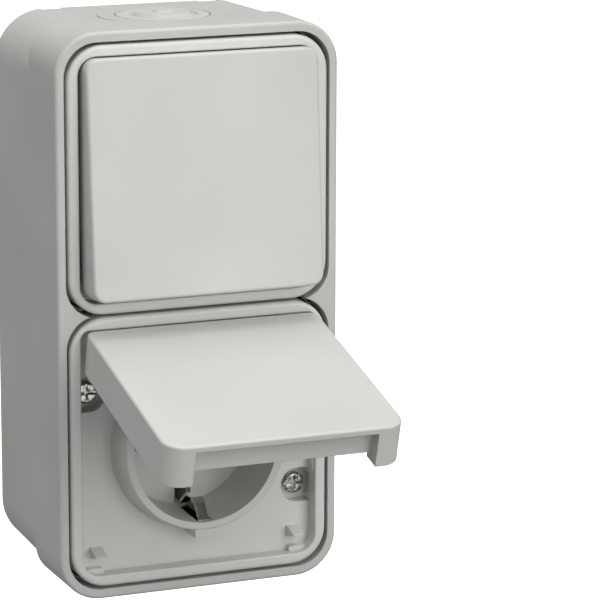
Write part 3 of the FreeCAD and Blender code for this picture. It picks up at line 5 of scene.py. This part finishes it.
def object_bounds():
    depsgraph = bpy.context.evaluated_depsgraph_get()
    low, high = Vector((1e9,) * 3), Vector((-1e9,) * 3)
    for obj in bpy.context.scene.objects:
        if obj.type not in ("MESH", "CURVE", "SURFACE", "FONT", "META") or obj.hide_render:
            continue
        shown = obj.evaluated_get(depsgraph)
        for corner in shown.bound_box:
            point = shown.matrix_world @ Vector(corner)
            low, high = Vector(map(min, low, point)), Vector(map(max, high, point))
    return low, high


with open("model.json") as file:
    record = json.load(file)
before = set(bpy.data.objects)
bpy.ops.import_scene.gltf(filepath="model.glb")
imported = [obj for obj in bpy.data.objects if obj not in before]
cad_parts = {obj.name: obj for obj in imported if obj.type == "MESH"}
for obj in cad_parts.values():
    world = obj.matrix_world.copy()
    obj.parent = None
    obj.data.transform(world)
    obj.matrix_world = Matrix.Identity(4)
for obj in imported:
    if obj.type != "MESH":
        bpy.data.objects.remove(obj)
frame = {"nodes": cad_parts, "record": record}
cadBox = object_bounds()
nodes = frame["nodes"]
mm = 0.001
print("frame loaded:", len(nodes), "nodes")


# sRGB hex to linear RGBA
def linear(hexColour):
    channels = [int(hexColour[i:i + 2], 16) / 255 for i in (1, 3, 5)]
    return [c / 12.92 if c <= 0.04045 else ((c + 0.055) / 1.055) ** 2.4 for c in channels] + [1.0]


# Adds a shader node: settings go to its inputs or properties, links feed its inputs
def addNode(tree, kind, settings=None, links=None):
    node = tree.nodes.new(kind)
    for key, value in (settings or {}).items():
        if key in node.inputs:
            node.inputs[key].default_value = value
        else:
            setattr(node, key, value)
    for key, source in (links or {}).items():
        tree.links.new(source, node.inputs[key])
    return node


def newMaterial(name):
    material = bpy.data.materials.new(name)
    material.use_nodes = True
    tree = material.node_tree
    return material, tree, tree.nodes["Principled BSDF"]


# ABS blend, injection-moulded in a spark-eroded tool: fine even grain, soft sheen.
# Grain size and depth are in mm; the grain is coarser than the real one, so that it shows.
mouldedSettings = {
    "boxThermoplastic": {
        "colour": "#C4C5C0", "shade": "#BDBEB9", "roughness": 0.42, "grain": 0.55, "depth": 0.040},
    "coverThermoplastic": {
        "colour": "#D5D6D1", "shade": "#D0D1CC", "roughness": 0.36, "grain": 0.5, "depth": 0.032},
    "lidThermoplastic": {
        "colour": "#CBCCC7", "shade": "#C6C7C2", "roughness": 0.36, "grain": 0.5, "depth": 0.032},
    "rockerThermoplastic": {
        "colour": "#CACBC6", "shade": "#C4C5C0", "roughness": 0.34, "grain": 0.5, "depth": 0.028},
    "insertThermoplastic": {
        "colour": "#D9D8D0", "shade": "#CFCEC6", "roughness": 0.45, "grain": 0.6, "depth": 0.040},
}
mould = {"cloud": 38, "radius": 0.25, "relief": 0.35, "ior": 1.53}   # flow clouds and edge radii in mm


def mouldedPlastic(name, s):
    material, tree, shader = newMaterial(name)
    place = addNode(tree, "ShaderNodeTexCoord").outputs["Object"]
    cloud = addNode(tree, "ShaderNodeTexNoise", {"Scale": 1 / (mould["cloud"] * mm), "Detail": 2.0},
                    {"Vector": place})
    tone = addNode(tree, "ShaderNodeValToRGB", {}, {"Fac": cloud.outputs["Fac"]})
    tone.color_ramp.elements[0].position, tone.color_ramp.elements[1].position = 0.35, 0.65
    tone.color_ramp.elements[0].color = linear(s["shade"])
    tone.color_ramp.elements[1].color = linear(s["colour"])
    tree.links.new(tone.outputs["Color"], shader.inputs["Base Color"])
    grain = addNode(tree, "ShaderNodeTexNoise", {"Scale": 1 / (s["grain"] * mm), "Detail": 3.0},
                    {"Vector": place})
    gloss = addNode(tree, "ShaderNodeMapRange",
                    {"To Min": s["roughness"] - 0.04, "To Max": s["roughness"] + 0.05},
                    {"Value": grain.outputs["Fac"]})
    tree.links.new(gloss.outputs["Result"], shader.inputs["Roughness"])
    edge = addNode(tree, "ShaderNodeBevel", {"samples": 4, "Radius": mould["radius"] * mm})   # moulded edges
    bump = addNode(tree, "ShaderNodeBump", {"Strength": mould["relief"], "Distance": s["depth"] * mm},
                   {"Height": grain.outputs["Fac"], "Normal": edge.outputs["Normal"]})
    tree.links.new(bump.outputs["Normal"], shader.inputs["Normal"])
    shader.inputs["IOR"].default_value = mould["ior"]
    return material


materials = {name: mouldedPlastic(name, s) for name, s in mouldedSettings.items()}

# Moulded elastomer entries and black seal rubber: matt, with a faint bloom
softSettings = {
    "entryElastomer": {"colour": "#C2C3BE", "roughness": 0.62, "grain": 0.7, "depth": 0.05, "ior": 1.5},
    "sealRubber": {"colour": "#1C1C1D", "roughness": 0.7, "grain": 0.6, "depth": 0.05, "ior": 1.5},
}


def softRubber(name, s):
    material, tree, shader = newMaterial(name)
    place = addNode(tree, "ShaderNodeTexCoord").outputs["Object"]
    grain = addNode(tree, "ShaderNodeTexNoise", {"Scale": 1 / (s["grain"] * mm), "Detail": 2.0},
                    {"Vector": place})
    bump = addNode(tree, "ShaderNodeBump", {"Strength": 0.4, "Distance": s["depth"] * mm},
                   {"Height": grain.outputs["Fac"]})
    tree.links.new(bump.outputs["Normal"], shader.inputs["Normal"])
    bloom = addNode(tree, "ShaderNodeMapRange",
                    {"To Min": s["roughness"] - 0.06, "To Max": s["roughness"] + 0.08},
                    {"Value": grain.outputs["Fac"]})
    tree.links.new(bloom.outputs["Result"], shader.inputs["Roughness"])
    shader.inputs["Base Color"].default_value = linear(s["colour"])
    shader.inputs["IOR"].default_value = s["ior"]
    return material


materials.update({name: softRubber(name, s) for name, s in softSettings.items()})

# Metals: bright nickel on the earth strap, dull zinc on the screws, bare stamped brass, drawn steel wire
# Patch and line sizes and depths are in mm
metalSettings = {
    "nickelPlatedBrass": {
        "colour": "#FBF9F3", "dark": "#E9E6DD", "roughness": 0.16,
        "patch": 6.0, "dents": 0.01, "lines": 0.6, "scratch": 0.001},
    "zincPlatedSteel": {
        "colour": "#D8D8D2", "dark": "#77776F", "roughness": 0.24,
        "patch": 1.1, "dents": 0.09, "lines": 0.5, "scratch": 0.02},
    "stampedBrass": {
        "colour": "#C9A45C", "dark": "#A9874A", "roughness": 0.32,
        "patch": 3.0, "dents": 0.04, "lines": 0.4, "scratch": 0.01},
    "drawnSteel": {
        "colour": "#B4B4B2", "dark": "#8F8F8D", "roughness": 0.28,
        "patch": 1.5, "dents": 0.03, "lines": 0.3, "scratch": 0.01},
}
plating = {"radius": 0.15, "waves": 0.6, "scratches": 0.25}   # edge radius in mm, then two bump strengths


def platedMetal(name, s):
    material, tree, shader = newMaterial(name)
    place = addNode(tree, "ShaderNodeTexCoord").outputs["Object"]
    patches = addNode(tree, "ShaderNodeTexNoise", {"Scale": 1 / (s["patch"] * mm), "Detail": 2.0},
                      {"Vector": place})
    tone = addNode(tree, "ShaderNodeValToRGB", {}, {"Fac": patches.outputs["Fac"]})   # thin or thick plating
    tone.color_ramp.elements[0].position, tone.color_ramp.elements[1].position = 0.42, 0.6
    tone.color_ramp.elements[0].color = linear(s["dark"])
    tone.color_ramp.elements[1].color = linear(s["colour"])
    tree.links.new(tone.outputs["Color"], shader.inputs["Base Color"])
    scratches = addNode(tree, "ShaderNodeTexNoise", {"Scale": 1 / (s["lines"] * mm), "Detail": 4.0},
                        {"Vector": place})
    gloss = addNode(tree, "ShaderNodeMapRange",
                    {"To Min": s["roughness"] - 0.08, "To Max": s["roughness"] + 0.12},
                    {"Value": scratches.outputs["Fac"]})
    tree.links.new(gloss.outputs["Result"], shader.inputs["Roughness"])
    # Slightly rounded edges catch the light
    edge = addNode(tree, "ShaderNodeBevel", {"samples": 8, "Radius": plating["radius"] * mm})
    wave = addNode(tree, "ShaderNodeBump", {"Strength": plating["waves"], "Distance": s["dents"] * mm},
                   {"Height": patches.outputs["Fac"], "Normal": edge.outputs["Normal"]})
    bump = addNode(tree, "ShaderNodeBump", {"Strength": plating["scratches"], "Distance": s["scratch"] * mm},
                   {"Height": scratches.outputs["Fac"], "Normal": wave.outputs["Normal"]})
    tree.links.new(bump.outputs["Normal"], shader.inputs["Normal"])
    shader.inputs["Metallic"].default_value = 1.0
    return material


materials.update({name: platedMetal(name, s) for name, s in metalSettings.items()})

# Material slot in the record, and its finish here
finishes = {
    "housing_plastic": "boxThermoplastic", "cover_plastic": "coverThermoplastic",
    "rocker_plastic": "rockerThermoplastic", "insert_plastic": "insertThermoplastic",
    "entry_rubber": "entryElastomer", "seal_rubber": "sealRubber", "contact_brass": "stampedBrass",
    "nickel_strip": "nickelPlatedBrass", "zinc_steel": "zincPlatedSteel", "pin_steel": "drawnSteel",
    "spring_steel": "drawnSteel",
}
for part in frame["record"]["subparts"]:
    piece = nodes[part["node"]]
    piece.data.materials.clear()
    finish = "lidThermoplastic" if part["node"] == "lid" else finishes[part["material_slot"]]   # a shade darker
    piece.data.materials.append(materials[finish])
print("materials assigned")

# Floor, light and camera
studio = {
    "floorDrop": 0.16, "floorHalf": 12, "floorColour": "#F6F6F5", "floorRoughness": 0.9, "floorGlow": 0.85,
    "below": 0.11, "above": 0.57,   # strength of the sky towards the ground and overhead
    "aim": (0, -0.04, 0),
}

bm = bmesh.new()
bmesh.ops.create_grid(bm, x_segments=1, y_segments=1, size=studio["floorHalf"])
bmesh.ops.translate(bm, verts=bm.verts, vec=(0, 0, cadBox[0].z - studio["floorDrop"]))
floorMesh = bpy.data.meshes.new("studioFloor")
bm.to_mesh(floorMesh)
bm.free()
floor = bpy.data.objects.new("studioFloor", floorMesh)
bpy.context.scene.collection.objects.link(floor)
floorPaint, tree, shader = newMaterial("paleMattPaper")
shader.inputs["Base Color"].default_value = linear(studio["floorColour"])
shader.inputs["Roughness"].default_value = studio["floorRoughness"]
shader.inputs["Emission Color"].default_value = linear(studio["floorColour"])
shader.inputs["Emission Strength"].default_value = studio["floorGlow"]
floorMesh.materials.append(floorPaint)
floor.visible_diffuse = floor.visible_glossy = False   # white to the eye, but no light from below

world = bpy.data.worlds.new("softStudio")
bpy.context.scene.world = world
world.use_nodes = True
tree = world.node_tree
ray = addNode(tree, "ShaderNodeTexCoord").outputs["Generated"]
height = addNode(tree, "ShaderNodeSeparateXYZ", {}, {"Vector": ray})
sky = addNode(tree, "ShaderNodeMapRange",
              {"From Min": -1.0, "To Min": studio["below"], "To Max": studio["above"]},
              {"Value": height.outputs["Z"]})
backdrop = tree.nodes["Background"]
backdrop.inputs["Color"].default_value = (1.0, 1.0, 1.0, 1.0)
tree.links.new(sky.outputs["Result"], backdrop.inputs["Strength"])

lamps = {
    "mainFront": {"at": (0.3, -1.2, 0.42), "size": 1.0, "power": 5.4},
    "keyAbove": {"at": (0.34, -0.86, 0.95), "size": 0.75, "power": 2.6},
    "frontFill": {"at": (0.25, -1.3, 0.0), "size": 0.9, "power": 2.6},
    "topSoft": {"at": (0.08, -0.12, 1.24), "size": 0.75, "power": 7.0},
    "leftBehind": {"at": (-1.2, 0.25, 0.35), "size": 0.8, "power": 2.3},
}
for name, s in lamps.items():
    lamp = bpy.data.lights.new(name, "AREA")
    lamp.size, lamp.energy = s["size"], s["power"]
    holder = bpy.data.objects.new(name, lamp)
    bpy.context.scene.collection.objects.link(holder)
    holder.location = s["at"]
    holder.rotation_mode = "QUATERNION"
    holder.rotation_quaternion = (Vector(studio["aim"]) - Vector(s["at"])).to_track_quat("-Z", "Y")

camera = {
    "at": (-0.302763, -0.855620, 0.198495), "lens": 205.49, "sensor": 36, "near": 0.05, "far": 60,
    "right": (0.924954, -0.380065, 0.003244), "up": (0.081408, 0.206441, 0.975067),
    "ahead": (0.371258, 0.901628, -0.221889),
}
lens = bpy.data.cameras.new("photoCamera")
lens.lens, lens.sensor_width = camera["lens"], camera["sensor"]
lens.clip_start, lens.clip_end = camera["near"], camera["far"]
eye = bpy.data.objects.new("photoCamera", lens)
bpy.context.scene.collection.objects.link(eye)
turn = Matrix((camera["right"], camera["up"], [-a for a in camera["ahead"]])).transposed()
eye.matrix_world = Matrix.Translation(camera["at"]) @ turn.to_4x4()
bpy.context.scene.camera = eye
bpy.context.scene.view_settings.view_transform = "Standard"
print("stage and camera set")
